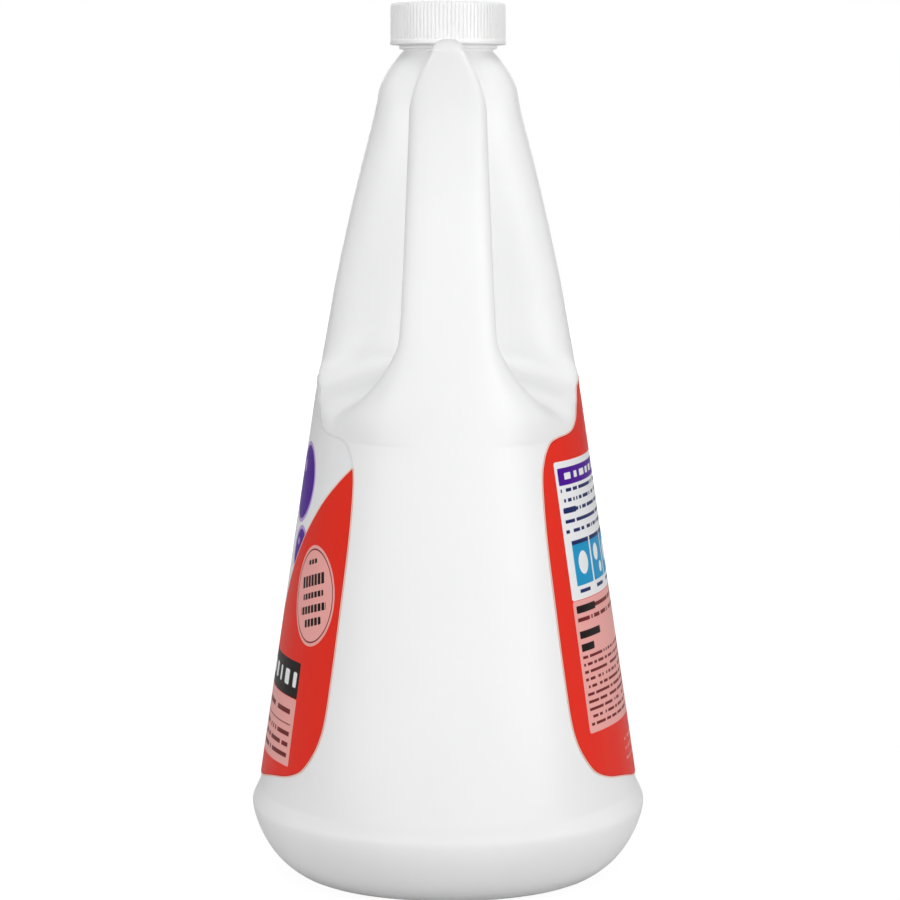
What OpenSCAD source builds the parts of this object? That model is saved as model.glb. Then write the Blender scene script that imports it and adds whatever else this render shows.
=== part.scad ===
// Refill bottle for a spray cleaner: a blown bottle with a finger opening,
// a ribbed screw cap with its sealing disc, and two wrap labels.
// +Z is up and the origin is the middle of the base. The handle is on the +X
// side, the front label faces -Y and the back label faces +Y.

/* [Bottle] */
// Height of the closed bottle, from the base to the top of the cap
total_h = 300; // [285:1:330]
// Width across the ridge above the base, from label side to label side
body_w = 137; // [130:1:150]
// Depth across the ridge, from the back to the handle side
body_d = 148; // [140:1:162]
// Height of the ridge, the widest place of the bottle
ridge_h = 23.5; // [19:0.5:27]
// Height of the waist, where the label panels begin
waist_h = 32; // [29:0.5:38]
// How far the waist lies inside the ridge, on each side
waist_in = 2.9; // [1:0.1:4]
// Width of the body at the top of the label panels
shoulder_w = 88.4; // [80:0.1:96]
// Width of the column behind the finger opening, at its top
column_w = 50; // [44:1:56]
// How much the side of the column bulges past a straight cone
column_bulge = 1.2; // [0:0.1:3]
// Squareness of the horizontal sections, where 2 is a plain ellipse
squareness = 2.15; // [2:0.05:2.5]
// Squareness of the front of the column, behind the finger opening
column_squareness = 2.8; // [2:0.1:3.2]
// Width of the foot, measured across the outer edge of the ring it stands on
foot_w = 95; // [86:1:104]
// Width of the flat of that ring
foot_ring = 4; // [3:0.5:8]
// Depth of the hollow under the base
foot_rise = 4; // [2:0.5:8]
// Thickness of the blown wall
wall = 1.2; // [1:0.1:2]

/* [Finger opening and handle] */
// Height of the lowest point of the finger opening
opening_low = 184; // [176:1:190]
// Height of the highest point of the finger opening
opening_high = 268; // [262:1:270]
// Distance of the column's face from the bottle's axis, in the opening
column_face = 14; // [10:0.5:17]
// Distance of the outer face of the grip from the bottle's axis, at its top
grip_reach = 55; // [52:0.5:58]
// Distance of the handle side from the bottle's axis, at the handle's foot
foot_reach = 63.5; // [61:0.5:66]
// Distance of the handle's upper corner from the bottle's axis
corner_reach = 61; // [57:0.5:63]
// How far that corner lies below the highest point of the handle
corner_drop = 4.5; // [2:0.5:8]
// Thickness of the grip, from its outer face to the opening
grip_t = 19.5; // [17:0.5:22]
// Distance of the widest line of the grip from its outer face
crest_t = 6.5; // [5:0.5:9]
// Radius of the opening's upper corner, under the bend of the handle
bend_r = 10; // [7:0.5:12]
// Width of the grip at half its height
grip_w = 27.8; // [24:0.1:32]
// Width of the handle from its upper corner to the neck
root_w = 11.4; // [10:0.2:16]
// Width of the foot of the handle, where it runs out into the body
flare_w = 80; // [66:1:84]

/* [Neck] */
// Distance of the neck's axis behind the bottle's axis
neck_back = 8; // [4:0.5:11]
// Diameter of the neck below its ring
neck_d = 30.8; // [30:0.2:32]
// Height of the plain neck below its ring
neck_h = 1.1; // [1:0.1:3]
// Diameter of the ring below the cap
ring_d = 33.8; // [33:0.2:34.6]
// Thickness of that ring
ring_t = 0.9; // [0.6:0.1:1.4]
// Diameter of the threaded part of the neck, without its thread
finish_d = 34; // [33:0.2:34.6]
// Diameter of the mouth
mouth_d = 27; // [24:0.5:27.5]

/* [Screw cap] */
// Diameter of the cap over its ribs
cap_d = 39.8; // [39.4:0.1:42]
// Height of the cap
cap_h = 14.4; // [13:0.1:18]
// Number of grip ribs
rib_n = 92; // [60:2:100]
// Depth of a rib
rib_t = 0.5; // [0.3:0.05:0.6]
// Height of the plain bead below the ribs
bead_h = 1.5; // [1:0.1:2.5]
// How far the bead stands out past the ribs
bead_out = 0.15; // [0:0.05:0.4]
// Width of the chamfer round the top
cap_edge = 1; // [0.5:0.1:1.4]
// Thickness of the top of the cap
cap_top = 1.4; // [1:0.1:2]
// Inner diameter of the cap
cap_bore = 37; // [36.6:0.1:37.4]
// Gap between the lower edge of the cap and the ring of the neck
cap_gap = 0.4; // [0.3:0.1:1]

/* [Sealing disc] */
// Thickness of the disc in the cap that seals the mouth
liner_t = 1; // [0.6:0.1:1.6]
// Gap round the edge of the disc
liner_fit = 0.5; // [0.3:0.1:1]

/* [Labels] */
// Thickness of a label
label_t = 0.2; // [0.1:0.05:0.4]
// Gap between a label and the wall behind it
label_gap = 0.1; // [0.1:0.05:0.3]
// Height of the top of the labels
label_high = 176; // [168:1:180]
// Gap between the waist and the lower edge of the labels
label_lift = 0.5; // [0.2:0.1:3]
// Angle between the depth axis and the side edges of a label
label_edge = 39; // [34:1:48]
// The same angle at the top of the label, beside the finger opening
label_edge_high = 76; // [66:1:84]
// Radius of a label's corners
label_corner = 16; // [8:1:20]

/* [Hidden] */
round_fn = 96;

neck_x = -neck_back;
cap_low = total_h - cap_h;
// The lip of the mouth carries the sealing disc, which carries the cap
lip_h = total_h - cap_top - liner_t;
ring_high = cap_low - cap_gap;
ring_low = ring_high - ring_t;
neck_low = ring_low - neck_h;
// The side of the column turns in to the neck over this height, and ends on a
// narrow step round the neck's foot
dome_h = 20;
dome_low = neck_low - dome_h;
neck_foot_r = neck_d / 2 + 0.4;
shoulder_h = label_high;
// The roof of the body, below the finger opening, falls away over this height
roof_h = 34;
roof_low = opening_low - roof_h;
// The section parts below the floor's middle line, which is the lowest
// point of the opening
split_h = opening_low - 5;
floor_h = opening_low - 2;
grip_mid = (opening_low + opening_high) / 2;
// The arm of the handle stands a little higher than the edge of the cap, and
// is highest at some distance from it
cap_side = cap_d / 2 - neck_back;
arm_high = cap_low + 1.3;
crest_x = cap_side + 10;
corner_high = arm_high - corner_drop;
// Above this height the grip gathers in to its upper corner
gather_low = corner_high - 20;

// Signed power, used for rounded squares
function spow(v, e) = sign(v) * pow(abs(v), e);
// Straight blend from a to b, and one that starts and ends level
function mix(a, b, t) = a + (b - a) * t;
function along(v, a, b) = max(0, min(1, (v - a) / (b - a)));
function ease(t) = t * t * (3 - 2 * t);

// How far the profile lies inside the ridge in the rounded heel, at height z
function heel_in(z) = let (u = 1 - along(z, 0, ridge_h))
    (body_w - foot_w) / 2 * (1 - pow(1 - pow(u, 1.42), 1 / 2.08));
// The label panels on the flanks are set back above the ridge. This is how far
// the angle a lies on a flank: the front and the back have no ridge.
function flank_share(a) = ease(along(min(a, 180 - a), 22, 62));
function panel_in(z) = waist_in * ease(along(z, ridge_h, waist_h));
// The front and the back start level at the ridge and lean in over lean_h.
// This is the share of the way from the ridge to height top.
lean_h = 24;
function leaned(rise) = rise < lean_h ? pow(rise, 2) / (2 * lean_h) : rise - lean_h / 2;
function lean(z, top) = leaned(z - ridge_h) / leaned(top - ridge_h);

// Half the width of the bottle at height z, as the point at angle a counts it
function half_w(z, a = 90) =
    z < ridge_h ? body_w / 2 - heel_in(z)
    : z < shoulder_h ? mix(
        mix(body_w, shoulder_w, lean(z, shoulder_h)) / 2,
        mix(body_w / 2 - panel_in(z), shoulder_w / 2, along(z, waist_h, shoulder_h)),
        flank_share(a))
    : z < dome_low ? let (t = along(z, shoulder_h, dome_low))
        mix(shoulder_w, column_w, t) / 2 + column_bulge * 4 * t * (1 - t)
    : let (t = along(z, dome_low, neck_low))
        mix(neck_foot_r, column_w / 2, pow(1 - pow(t, 2), 0.95));

// The sections are widest on a line that leans back from the bottle's axis
// to the axis of the neck
function middle_x(z) = -neck_back * along(z, waist_h, neck_low);
// The handle side runs straight up the body, leans in to the grip and stands
// out again towards the handle's upper corner
function outer_x(z, a = 0) = z < ridge_h ? back_r(z)
    : z < roof_low ? mix(
        mix(body_d / 2, foot_reach, lean(z, roof_low)),
        mix((body_w / 2 - panel_in(z)) * body_d / body_w, foot_reach, along(z, waist_h, roof_low)),
        flank_share(a))
    : grip_reach + (foot_reach - grip_reach) * pow(1 - along(z, roof_low, opening_high), 1.25)
        + (corner_reach - grip_reach) * pow(along(z, grip_mid, corner_high), 2.5);
// Distances from that line to the back, to the front of the full body, and
// to the face of the column behind the finger opening
function back_r(z, a = 90) = half_w(z, a) * mix(body_d / body_w, 1, along(z, waist_h, neck_low));
function belly_r(z, a) = outer_x(z, a) - middle_x(z);
function column_r(z) = mix(column_face, neck_foot_r - neck_back, ease(along(z, dome_low, neck_low)))
    - middle_x(z);

// Point of a section that is front_r deep before its widest line and
// back_r deep behind it, at angle a from the front
function section_point(z, front_r, a, out = 0, square = squareness) = let (
    e = 2 / mix(a < 90 ? square : squareness, 2, along(z, dome_low, neck_low)))
    [middle_x(z) + ((a < 90 ? front_r : back_r(z, a)) + out) * spow(cos(a), e),
     (half_w(z, a) + out) * spow(sin(a), e), z];

// The handle spreads at its foot, where it runs out into the body. Below
// foot_high it grows wider, and its widest line moves back by as much.
foot_high = opening_low + 6;
function spread(z) = (flare_w - grip_w) / 2 * pow(1 - along(z, roof_low + 6, foot_high), 1.65);
function grip_half_w(z) = z < gather_low
    ? grip_w / 2 + spread(z) + mix(2, -1.3, pow(along(z, foot_high, gather_low), 0.85))
    : mix(grip_w / 2 - 1.3, root_w / 2, pow(along(z, gather_low, corner_high), 2));
function inner_x(z) = outer_x(z) - grip_t - spread(z);

// Squareness of the handle's section, outside and inside its widest line. The
// section is rounder where the handle spreads, and flat in front at its corner.
arm_bend = 0.8;
function front_bend(z) = mix(1, arm_bend, along(z, roof_low + 6, foot_high))
    - 0.25 * along(z, opening_high - 38, corner_high);
function grip_bend(a, z) = a < 90 ? front_bend(z) : 0.95;
function foot_point(z, a) = let (r = grip_t - crest_t, m = inner_x(z) + r, e = grip_bend(a, z))
    [m + (a < 90 ? outer_x(z) - m : r) * spow(cos(a), e), grip_half_w(z) * spow(sin(a), e), z];

// Half of a section is numbered from the front to the back. Its first points
// turn into the foot of the handle, the next ones into the floor of the
// finger opening, and the rest into the column.
body_angles = [0, 12, 25, 38, 50, 57, 63, 68, 73, 78, 84, 90, 98, 107, 118, 128, 138, 148, 159, 169.5, 180];
foot_angles = [0, 20, 42, 66, 90, 120, 148];
column_angles = [16, 36, 56, 76, 93, 106, 117, 127, 137, 148, 159, 169.5, 180];
last = len(body_angles) - 1;
web_a = len(foot_angles) - 1;
web_b = last - len(column_angles) + 1;
function column_point(z, a) = section_point(z, column_r(z), a, square = column_squareness);
function web_point(z, k) = let (s = (k - web_a) / (web_b - web_a),
    p = foot_point(z, foot_angles[web_a]),
    q = column_point(z, column_angles[0]))
    [mix(p[0], q[0], s), mix(p[1], q[1], s) - 1.5 * sin(180 * s), z];
function split_point(z, k) = k < web_a ? foot_point(z, foot_angles[k])
    : k <= web_b ? web_point(z, k)
    : column_point(z, column_angles[k - web_b]);

// Blend from the full body to the parted section. It is quick at the foot of
// the handle, and starts higher up where a label still lies on the wall. The
// front of the column is reached over edge_blend_h, its sides over side_blend_h.
edge_blend_h = 19;
side_blend_h = 28;
function blend_low(a) = mix(roof_low + 5, label_high, pow(along(a, 56, 88), 0.8));
function blend_at(z, k) = let (low = blend_low(body_angles[k]),
        foot = roof_low + 6 * pow(k / (web_a - 1), 3))
    k < web_a ? ease(along(z, foot, foot + roof_h / 2))
    : k <= web_b ? let (t = along(z, low, split_h)) mix(pow(t, 1.25), ease(t), 0.25)
    : ease(along(z, low, low + mix(edge_blend_h, side_blend_h, along(body_angles[k], 78, 100))));
function body_point(z, k) = mix(
    section_point(z, belly_r(z, body_angles[k]), body_angles[k]),
    split_point(z, k), blend_at(z, k));

// A point moved in by the wall, along the level normal between its neighbours
function pulled(p, before, after, inset) = inset == 0 ? p : let (
    d = [after[0] - before[0], after[1] - before[1]],
    n = [d[1], -d[0]] / norm(d))
    [p[0] - inset * n[0], p[1] - inset * n[1], p[2]];
function flip(p) = [p[0], -p[1], p[2]];
function half_inset(pts, inset) = [for (k = [0:len(pts) - 1])
    pulled(pts[k], k == 0 ? flip(pts[1]) : pts[k - 1],
        k == len(pts) - 1 ? flip(pts[k - 1]) : pts[k + 1], inset)];
// Full ring of a half, from its first point round the back to the other side
function whole(half) = concat(half, [for (k = [len(half) - 2:-1:1]) flip(half[k])]);

// In the roof the inner wall lies lower by the wall as well
function roof_drop(z, inset) = [0, 0, -inset * along(z, roof_low, split_h)];
function body_half(z, inset) = [for (p = half_inset([for (k = [0:last]) body_point(z, k)], inset))
    p + roof_drop(z, inset)];
function column_half(z, inset) = half_inset(concat(
    [column_point(z, 0)],
    [for (k = [web_b:last]) body_point(z, k)]), inset);
function grip_half(z, inset) = half_inset(concat(
    [for (a = foot_angles) foot_point(z, a)], [foot_point(z, 180)]), inset);

// Heights of the sections below the opening, of the column and of the grip
heel_steps = [0, 0.04, 0.12, 0.25, 0.42, 0.62, 0.82, 1];
function body_heights(low) = concat(
    [for (t = heel_steps) mix(low, ridge_h, t)],
    [(ridge_h + waist_h) / 2, waist_h],
    [for (k = [1:4]) mix(waist_h, roof_low, k / 4)],
    [for (k = [1:7]) mix(roof_low, split_h, k / 7)]);
column_heights = concat(
    [for (k = [1:5]) mix(floor_h + 2, dome_low, k / 5)],
    [for (t = [0.3, 0.55, 0.75, 0.9, 1]) mix(dome_low, neck_low, t)]);
grip_heights = concat(
    [floor_h + 2, foot_high],
    [for (k = [1:3]) mix(foot_high, grip_mid, k / 3)]);

// A ring of n points is a list of their numbers. A band joins two rings with
// triangles, whose diagonals run the same way on both sides of the bottle.
function ring(start, n) = [for (i = [0:n - 1]) start + i];
function band(p, q) = let (n = len(p)) [for (i = [0:n - 1]) let (k = (i + 1) % n)
    for (f = i < n / 2 ? [[p[i], q[k], p[k]], [p[i], q[i], q[k]]]
        : [[p[i], q[i], p[k]], [q[i], q[k], p[k]]]) f];

// The body up to the finger opening, and above it the column and the lower
// half of the grip, as one closed skin. Both stand on the body's last ring:
// what is left of it between them is the floor of the opening.
module branching_form(inset, low) {
    zs = body_heights(low);
    n = 2 * last;
    body = [for (z = zs) for (p = whole(body_half(z, inset))) p];
    base = (len(zs) - 1) * n;
    // Middle line of the floor, from the handle to the column
    ridge = [for (k = [web_a:web_b]) let (s = (k - web_a) / (web_b - web_a))
        [mix(inner_x(floor_h) + inset, column_r(floor_h) + middle_x(floor_h) - inset, s),
         0, floor_h - inset - 0.6 * sin(180 * s)]];
    ridge_at = len(body);
    column_n = 2 * len(column_angles);
    column = [for (z = column_heights) for (p = whole(column_half(z, inset))) p];
    column_at = ridge_at + len(ridge);
    grip_n = 2 * len(foot_angles);
    grip = [for (z = grip_heights) for (p = whole(grip_half(z, inset))) p];
    grip_at = column_at + len(column);
    // Rings of indices that the column and the grip stand on
    column_foot = concat([ridge_at + web_b - web_a],
        [for (k = [web_b:n - web_b]) base + k]);
    grip_foot = concat([for (k = [0:web_a]) base + k], [ridge_at],
        [for (k = [n - web_a:n - 1]) base + k]);
    last_column = column_at + len(column) - column_n;
    last_grip = grip_at + len(grip) - grip_n;
    polyhedron(points = concat(body, ridge, column, grip),
        faces = concat(
            [[for (i = [0:n - 1]) i]],
            [for (j = [0:len(zs) - 2]) for (f = band(ring(j * n, n), ring((j + 1) * n, n))) f],
            [for (k = [web_a:web_b - 1]) let (r = ridge_at + k - web_a)
                for (f = [[base + k, r, base + k + 1], [r, r + 1, base + k + 1],
                          [base + n - k, base + n - k - 1, r], [r, base + n - k - 1, r + 1]]) f],
            band(column_foot, ring(column_at, column_n)),
            [for (j = [0:len(column_heights) - 2]) let (at = column_at + j * column_n)
                for (f = band(ring(at, column_n), ring(at + column_n, column_n))) f],
            [[for (i = [column_n - 1:-1:0]) last_column + i]],
            band(grip_foot, ring(grip_at, grip_n)),
            [for (j = [0:len(grip_heights) - 2]) let (at = grip_at + j * grip_n)
                for (f = band(ring(at, grip_n), ring(at + grip_n, grip_n))) f],
            [[for (i = [grip_n - 1:-1:0]) last_grip + i]]),
        convexity = 8);
}

// Upper handle. Each section is given by its outer and its inner point, half
// its width and the power that bends its front. In steps of angle t it turns
// from the grip to the arm, with a round inner corner and a nearly sharp outer
// one at 45 degrees. The arm then runs into the neck close below the cap.
bend_z = opening_high - bend_r;
bend_x = inner_x(bend_z) - bend_r;
neck_front = neck_d / 2 - neck_back - 2;
function arm_top(x) = x > crest_x
    ? arm_high - corner_drop * pow((x - crest_x) / (corner_reach - crest_x), 2)
    : arm_high - (arm_high - ring_low + 2) * pow((crest_x - x) / (crest_x - neck_front), 1.4);
bend_steps = [0, 15, 29, 38, 45, 53, 62, 75, 90];
function bend_outer(t) = t <= 45
    ? let (z = mix(bend_z, corner_high, t / 45)) [outer_x(z), 0, z]
    : let (x = mix(corner_reach, bend_x, t / 45 - 1)) [x, 0, arm_top(x)];
function bend_station(t) = [bend_outer(t),
    [bend_x + bend_r * cos(t), 0, bend_z + bend_r * sin(t)],
    grip_half_w(bend_outer(min(t, 45))[2]),
    mix(front_bend(bend_outer(t)[2]), arm_bend, along(t, 45, 75))];
function arm_station(x, inner_x, inner_drop, half) = [
    [x, 0, arm_top(x)], [inner_x, 0, opening_high - inner_drop], half, arm_bend];
arm_stations = concat([for (t = bend_steps) bend_station(t)], [
    arm_station(crest_x - 4, column_face + 4, 0.6, root_w / 2),
    arm_station(cap_side + 1, column_face - 2, 2.5, root_w / 2 + 0.3),
    arm_station(neck_front, column_face - 10, 5, root_w / 2 + 0.5)]);
function arm_half(station, inset) = let (
    depth = norm(station[1] - station[0]),
    dir = (station[0] - station[1]) / depth,
    middle = station[0] - dir * crest_t)
    [for (a = concat(foot_angles, [180])) let (e = a < 90 ? station[3] : 0.95)
        middle + dir * ((a < 90 ? crest_t : depth - crest_t) - inset) * spow(cos(a), e)
            + [0, (station[2] - inset) * spow(sin(a), e), 0]];

// Closed skin over a list of rings that have equally many points
module skin(rings) {
    n = len(rings[0]);
    m = len(rings);
    polyhedron(
        points = [for (r = rings) for (p = r) p],
        faces = concat(
            [[for (i = [0:n - 1]) i]],
            [[for (i = [0:n - 1]) n * m - 1 - i]],
            [for (j = [0:m - 2]) for (f = band(ring(j * n, n), ring((j + 1) * n, n))) f]),
        convexity = 6);
}

// Outer or inner form of the bottle below its neck
module blown_form(inset, low) {
    branching_form(inset, low);
    skin(concat([whole(grip_half(grip_mid, inset))],
        [for (s = arm_stations) whole(arm_half(s, inset))]));
}

// Neck with its ring and the part that the cap screws on
module neck_outside() {
    translate([neck_x, 0, 0]) rotate_extrude($fn = round_fn) polygon([
        [0, neck_low - 6], [neck_d / 2 - 1, neck_low - 6], [neck_d / 2, neck_low - 0.5],
        [neck_d / 2, ring_low - 0.4], [ring_d / 2, ring_low],
        [ring_d / 2, ring_high], [finish_d / 2, ring_high + 0.3],
        [finish_d / 2, lip_h - 1], [finish_d / 2 - 1, lip_h], [0, lip_h]]);
}

module bottle() {
    color("white") difference() {
        union() {
            blown_form(0, 0);
            neck_outside();
        }
        blown_form(wall, foot_rise + wall);
        translate([neck_x, 0, dome_low]) cylinder(d = mouth_d, h = total_h - dome_low, $fn = round_fn);
        // Hollow under the base, which leaves a ring to stand on
        scale([body_d / body_w, 1, 1]) translate([0, 0, -1])
            cylinder(d1 = foot_w - 2 * foot_ring, d2 = foot_w - 8 * foot_ring, h = foot_rise + 1,
                $fn = round_fn);
    }
}

// Outline of the ribbed wall of the cap
function rib_outline() = [for (i = [0:rib_n - 1]) for (k = [0:3])
    let (a = 360 * (i + [0, 0.3, 0.5, 0.8][k]) / rib_n,
         r = cap_d / 2 - (k < 2 ? 0 : rib_t))
    r * [cos(a), sin(a)]];

module screw_cap() {
    color("white") translate([neck_x, 0, 0]) difference() {
        union() {
            translate([0, 0, cap_low + bead_h]) linear_extrude(cap_h - bead_h - cap_edge)
                polygon(rib_outline());
            translate([0, 0, cap_low])
                cylinder(d = cap_d + 2 * bead_out, h = bead_h, $fn = round_fn);
            translate([0, 0, total_h - cap_edge])
                cylinder(d1 = cap_d - rib_t, d2 = cap_d - 2 * cap_edge, h = cap_edge, $fn = round_fn);
        }
        translate([0, 0, cap_low - 1])
            cylinder(d = cap_bore, h = cap_h - cap_top + 1, $fn = round_fn);
    }
}

module cap_liner() {
    color("white") translate([neck_x, 0, lip_h])
        cylinder(d = cap_bore - 2 * liner_fit, h = liner_t, $fn = round_fn);
}

// Angles of a label's two side edges at height z. The edge on the handle side
// steps back from the finger opening, and the corners are round.
label_low = waist_h + label_lift;
step_low = roof_low;
step_high = roof_low + 8.5;
function corner_angle(z) = label_corner * 1.3 * (
    2 - sqrt(1 - pow(1 - along(z, label_low, label_low + label_corner), 2))
    - sqrt(1 - pow(along(z, label_high - label_corner / 2, label_high), 2)));
function handle_edge(z) = label_edge + corner_angle(z) + (label_edge_high - label_edge)
    * (0.6 * ease(along(z, step_low, step_high)) + 0.4 * along(z, step_high - 2, label_high - 5));
function back_edge(z) = 180 - label_edge - corner_angle(z);

label_columns = 24;
corner_steps = [0, 0.03, 0.12, 0.27, 0.5, 0.75, 1];
label_heights = concat(
    [for (t = corner_steps) label_low + label_corner * t],
    [for (k = [1:4]) mix(label_low + label_corner, step_low, k / 4)],
    [for (k = [1:5]) mix(step_low, step_high, k / 5)],
    [(step_high + label_high - label_corner / 2) / 2],
    [for (t = [1, 0.7, 0.45, 0.25, 0.1, 0.02, 0]) label_high - label_corner / 2 * t]);

// Points of a label across one height, at a distance out from the wall
function label_row(z, out) = let (a0 = handle_edge(z), a1 = back_edge(z))
    [for (i = [0:label_columns]) let (a = mix(a0, a1, i / label_columns))
        section_point(z, belly_r(z, a), a, out)];

// Its rings start with the back, so that the diagonals of the skin run across
// the slope of the handle edge and bend with the wall
module label() {
    skin([for (z = label_heights) let (back = label_row(z, label_gap))
        concat([for (i = [label_columns:-1:0]) back[i]],
            label_row(z, label_gap + label_t))]);
}

module front_label() {
    color("firebrick") mirror([0, 1, 0]) label();
}

module back_label() {
    color("firebrick") label();
}

bottle();
screw_cap();
cap_liner();
front_label();
back_label();
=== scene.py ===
# %% [markdown]
# # A blown refill bottle with a hollow handle
#
# The real object is a tall white bottle, blown in one shot with its handle, its
# finger opening and its neck. A ribbed cap screws on to it over a sealing disc,
# and one film label is stuck to each flank. The lesson builds the bottle's skin
# as one cage of four-sided faces, turns the cage smooth, gives it a wall, and
# then dresses it with the cap and the labels.

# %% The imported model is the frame
import math
import bpy
import bmesh
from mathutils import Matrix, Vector


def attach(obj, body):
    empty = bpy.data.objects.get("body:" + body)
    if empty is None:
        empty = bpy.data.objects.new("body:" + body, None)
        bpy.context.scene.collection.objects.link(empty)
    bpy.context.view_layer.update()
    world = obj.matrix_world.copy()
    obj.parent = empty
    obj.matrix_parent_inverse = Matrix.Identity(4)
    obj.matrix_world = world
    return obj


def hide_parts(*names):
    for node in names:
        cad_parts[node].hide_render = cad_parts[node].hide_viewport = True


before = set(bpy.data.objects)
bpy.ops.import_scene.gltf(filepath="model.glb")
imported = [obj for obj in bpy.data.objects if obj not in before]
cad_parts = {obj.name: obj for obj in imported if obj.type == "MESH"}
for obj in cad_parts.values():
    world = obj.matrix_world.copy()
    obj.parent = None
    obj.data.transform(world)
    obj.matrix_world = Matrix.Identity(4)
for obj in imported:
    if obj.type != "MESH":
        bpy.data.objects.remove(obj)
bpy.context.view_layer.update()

bpy.ops.object.select_all(action="DESELECT")

# %% [markdown]
# ## The camera
#
# A photographer of packs stands well back with a long lens, a little above the
# middle of the bottle, and tips the camera down. We give the camera the same
# place and tilt instead of shifting the lens, so that every other view keeps
# the same plain picture.

# %% A long lens, tipped down a little
MM = 0.001
camera_data = bpy.data.cameras.new("camera")
camera = bpy.data.objects.new("camera", camera_data)
bpy.context.collection.objects.link(camera)
camera.location = (1.003, 0.00066, 0.262)
camera.rotation_euler = (math.radians(90 - 6.6), 0, math.radians(90))
camera_data.sensor_width = 36
camera_data.lens = 116.2
bpy.context.scene.camera = camera
print("the lens sees", round(math.degrees(camera_data.angle), 1), "degrees")

# %% [markdown]
# ## Floor, world and lamps
#
# The bottle stands in a white studio. The floor could be lit until it is white,
# but that light would wash out the white plastic as well. So the camera sees a
# share of plain white glow in the floor, which grows to all of it away from the
# bottle and leaves a soft shadow round its foot. The world is white to the
# camera and dim to the bottle. Six big weak lamps then show its round form.

# %% Floor and world
def new_material(name):
    """A material with nodes, its node tree and its Principled shader."""
    material = bpy.data.materials.new(name)
    material.use_nodes = True
    return material, material.node_tree, material.node_tree.nodes["Principled BSDF"]

def link(tree, source, target):
    tree.links.new(source, target)

bpy.ops.mesh.primitive_plane_add(size=6, location=(0, 0, 0))
floor = bpy.context.active_object
floor.name = "floor"
floor_paint, tree, shader = new_material("studio_floor")
shader.inputs["Base Color"].default_value = (0.55, 0.55, 0.55, 1)
shader.inputs["Roughness"].default_value = 0.9
path = tree.nodes.new("ShaderNodeLightPath")
glow = tree.nodes.new("ShaderNodeEmission")
glow.inputs["Color"].default_value = (1, 1, 1, 1)
glow.inputs["Strength"].default_value = 1.2
blend = tree.nodes.new("ShaderNodeMixShader")
place = tree.nodes.new("ShaderNodeTexCoord")
away = tree.nodes.new("ShaderNodeVectorMath")
away.operation = "LENGTH"
link(tree, place.outputs["Object"], away.inputs[0])
fade = tree.nodes.new("ShaderNodeMapRange")
# The share of glow goes from 0.78 to all of it, between 0.25 and 0.9 m from the middle
for socket, value in (("From Min", 0.25), ("From Max", 0.9), ("To Min", 0.78), ("To Max", 1.0)):
    fade.inputs[socket].default_value = value
link(tree, away.outputs["Value"], fade.inputs["Value"])
share = tree.nodes.new("ShaderNodeMath")
share.operation = "MULTIPLY"
link(tree, path.outputs["Is Camera Ray"], share.inputs[0])
link(tree, fade.outputs["Result"], share.inputs[1])
link(tree, share.outputs[0], blend.inputs["Fac"])
link(tree, shader.outputs[0], blend.inputs[1])
link(tree, glow.outputs[0], blend.inputs[2])
link(tree, blend.outputs[0], tree.nodes["Material Output"].inputs["Surface"])
floor.data.materials.append(floor_paint)

world = bpy.data.worlds.new("studio")
bpy.context.scene.world = world
world.use_nodes = True
tree = world.node_tree
path = tree.nodes.new("ShaderNodeLightPath")
seen = tree.nodes.new("ShaderNodeMath")
seen.operation = "MAXIMUM"
link(tree, path.outputs["Is Camera Ray"], seen.inputs[0])
link(tree, path.outputs["Is Transmission Ray"], seen.inputs[1])
white = tree.nodes.new("ShaderNodeBackground")
white.inputs["Color"].default_value = (1, 1, 1, 1)
white.inputs["Strength"].default_value = 1.0
soft = tree.nodes["Background"]
soft.inputs["Color"].default_value = (1, 1, 1, 1)
soft.inputs["Strength"].default_value = 0.18
blend = tree.nodes.new("ShaderNodeMixShader")
link(tree, seen.outputs[0], blend.inputs["Fac"])
link(tree, soft.outputs[0], blend.inputs[1])
link(tree, white.outputs[0], blend.inputs[2])
link(tree, blend.outputs[0], tree.nodes["World Output"].inputs["Surface"])

# %% Lamps
def area_lamp(name, place, aim, size, power):
    """A square lamp at a place, turned to a point."""
    data = bpy.data.lights.new(name, "AREA")
    data.size = size
    data.energy = power
    lamp = bpy.data.objects.new(name, data)
    bpy.context.collection.objects.link(lamp)
    lamp.location = place
    lamp.rotation_euler = (Vector(aim) - Vector(place)).to_track_quat("-Z", "Y").to_euler()
    lamp.visible_camera = False

BOTTLE_MIDDLE = (0, 0, 0.14)
# Each lamp's place, the edge of its square in metres and its power in watts
LAMPS = {
    "over_lamp": ((0.6, 0, 1.5), 1.0, 9.3),
    "left_lamp": ((1.4, -1.1, 0.8), 1.0, 5.7),
    "right_lamp": ((1.4, 1.1, 0.8), 1.0, 3.5),
    "left_low_lamp": ((0.9, -1.3, 0.3), 0.8, 7.2),
    "right_low_lamp": ((0.9, 1.3, 0.3), 0.8, 11.8),
    "back_lamp": ((-1.8, 0, 0.7), 1.2, 12)}
for name, (place, size, power) in LAMPS.items():
    area_lamp(name, place, BOTTLE_MIDDLE, size, power)
bpy.context.scene.view_settings.view_transform = "Standard"

# %% [markdown]
# ## The bottle's own sizes
#
# A blown bottle is drawn by its level sections. Each section is a rounded oval,
# deeper than wide at the base and nearly round at the neck. The sizes are those
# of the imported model, in millimetres. H is a height, W a width, R a radius and T
# a thickness, and the small helpers below blend from one size to the next.

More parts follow.
